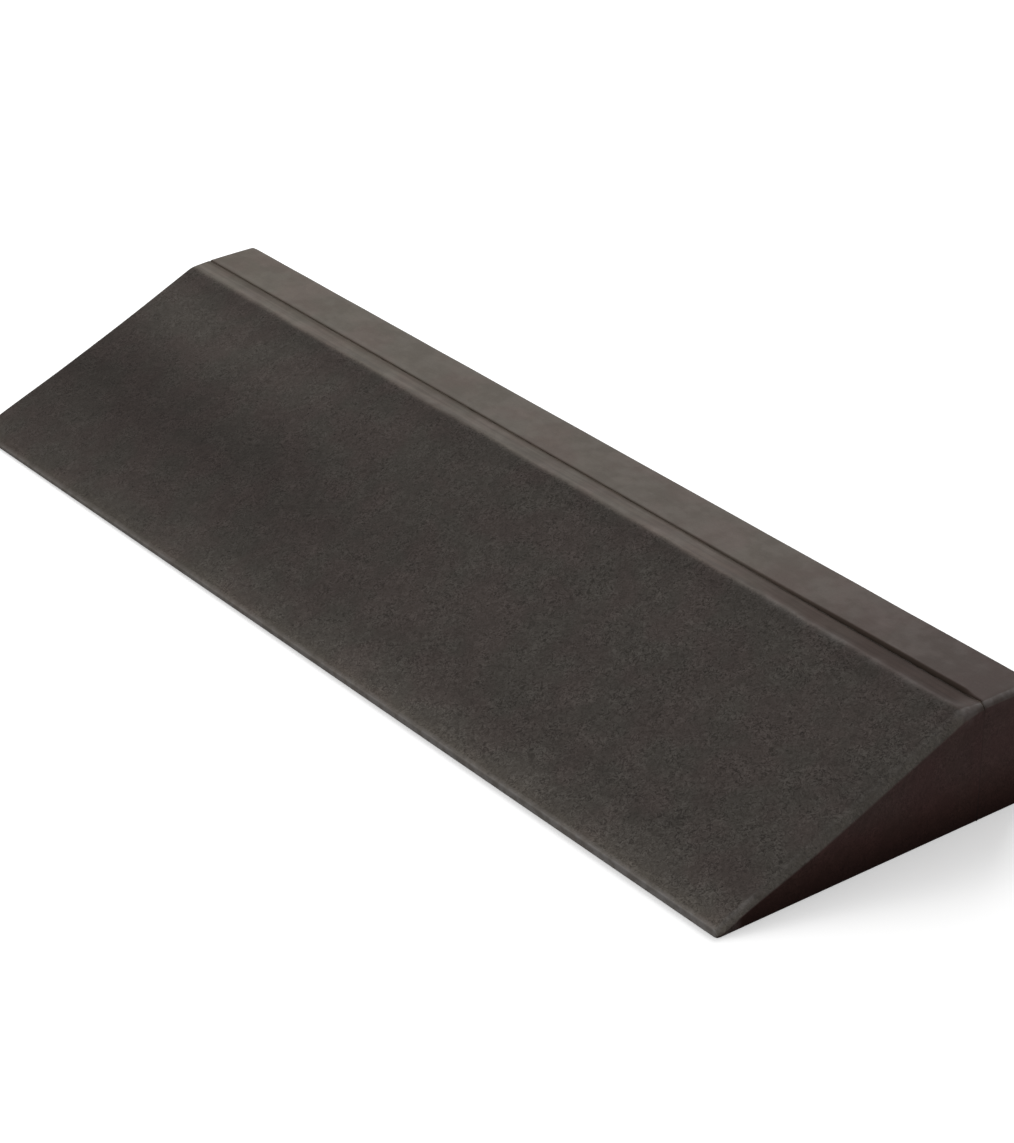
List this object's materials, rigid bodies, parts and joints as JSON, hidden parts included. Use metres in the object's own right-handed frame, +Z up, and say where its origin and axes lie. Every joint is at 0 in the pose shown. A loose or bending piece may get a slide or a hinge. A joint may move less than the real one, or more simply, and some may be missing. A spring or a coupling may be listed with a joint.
{
  "type": "slant board",
  "caption": "Long firm foam wedge that tilts the feet for calf and ankle stretching, with a rounded crest, a flat top land and a glued rear rail.",
  "frame": {"origin": "centre of the base, on the surface that the board stands on", "axes": "+X along the board's length, +Y from the thin front lip to the tall rear face, +Z up"},
  "size_m": [0.508, 0.1524, 0.0508],
  "materials": {
    "slope_foam": "matt charcoal closed-cell foam, fine pebbled cut face on the slope, smoother buffed top land",
    "rail_foam": "matt charcoal closed-cell foam, smooth softly blotched top",
    "contact_adhesive": "dull dark cured film, seen only down the joint line"
  },
  "bodies": {
    "root": {"slope_block": "slope_foam", "rear_rail": "rail_foam", "seam_glue": "contact_adhesive"}
  },
  "joints": []
}
